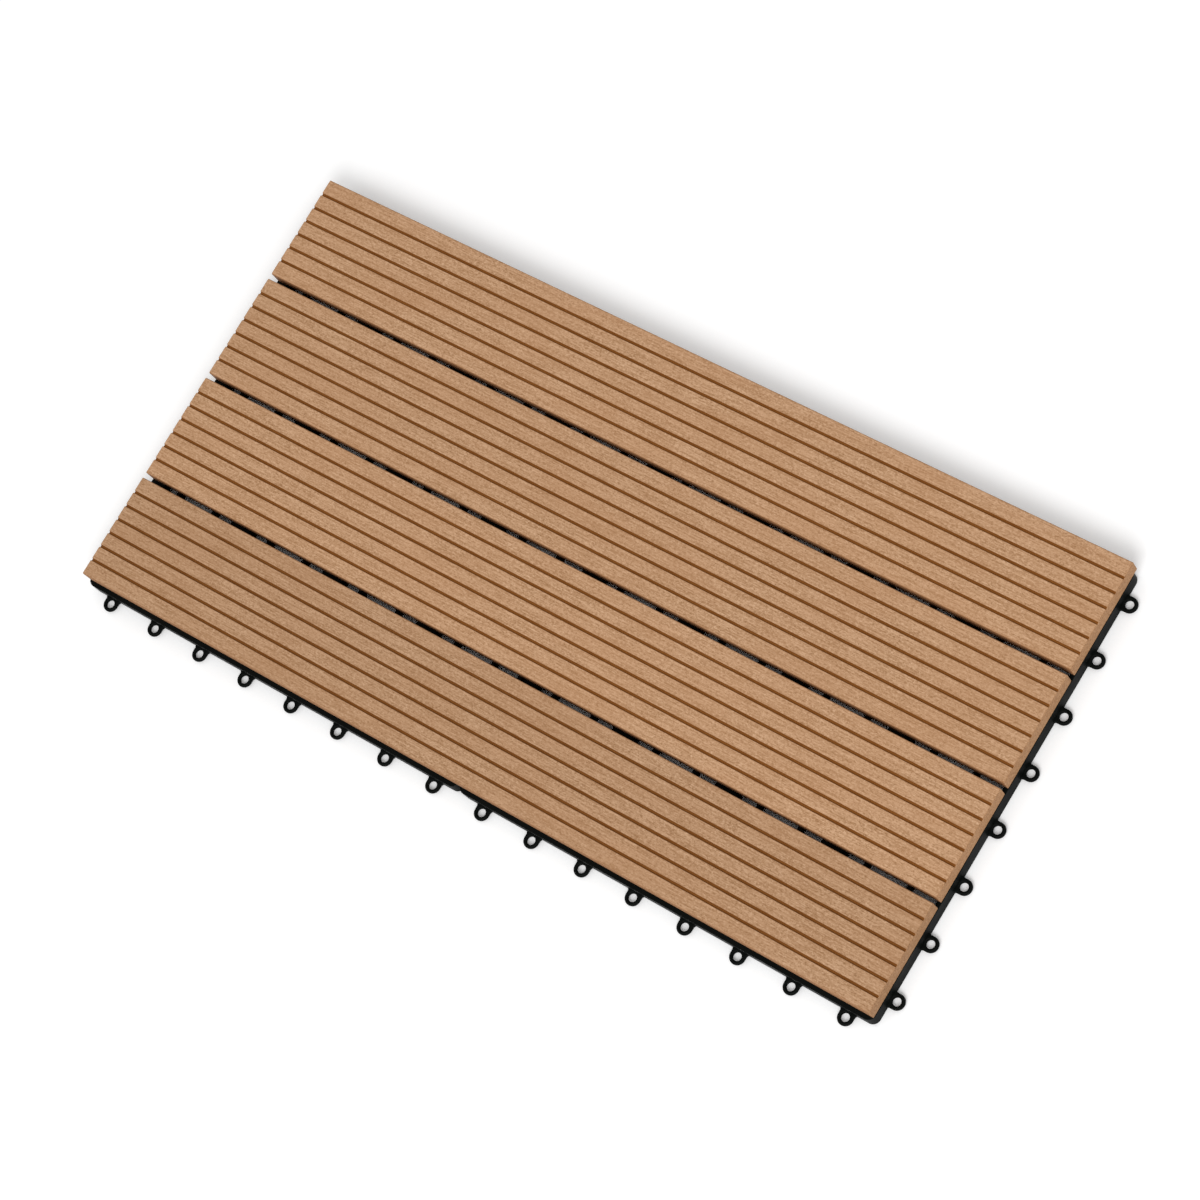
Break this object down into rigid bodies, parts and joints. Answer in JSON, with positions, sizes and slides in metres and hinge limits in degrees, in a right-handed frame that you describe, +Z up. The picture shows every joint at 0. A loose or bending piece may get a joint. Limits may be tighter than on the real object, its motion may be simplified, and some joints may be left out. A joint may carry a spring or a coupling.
{
  "type": "interlocking deck tile",
  "caption": "Flat deck tile: grooved wood-plastic slats screwed to moulded lattice bases, with clip rings along a long and a short side and matching pins opposite.",
  "frame": {"origin": "centre of the overall outline, rings included, at floor level", "axes": "+X along the slats towards the short side with rings, -Y towards the long side with rings, +Z up out of the walking face"},
  "size_m": [0.6072, 0.3082, 0.022],
  "materials": {
    "composite": "brushed matt",
    "moulded_base": "moulded matt black",
    "screw_steel": "zinc plated"
  },
  "bodies": {
    "root": {"slat_front": "composite", "slat_second": "composite", "slat_third": "composite", "slat_back": "composite", "base_grid_left": "moulded_base", "base_grid_right": "moulded_base", "slat_screws": "screw_steel"}
  },
  "joints": []
}
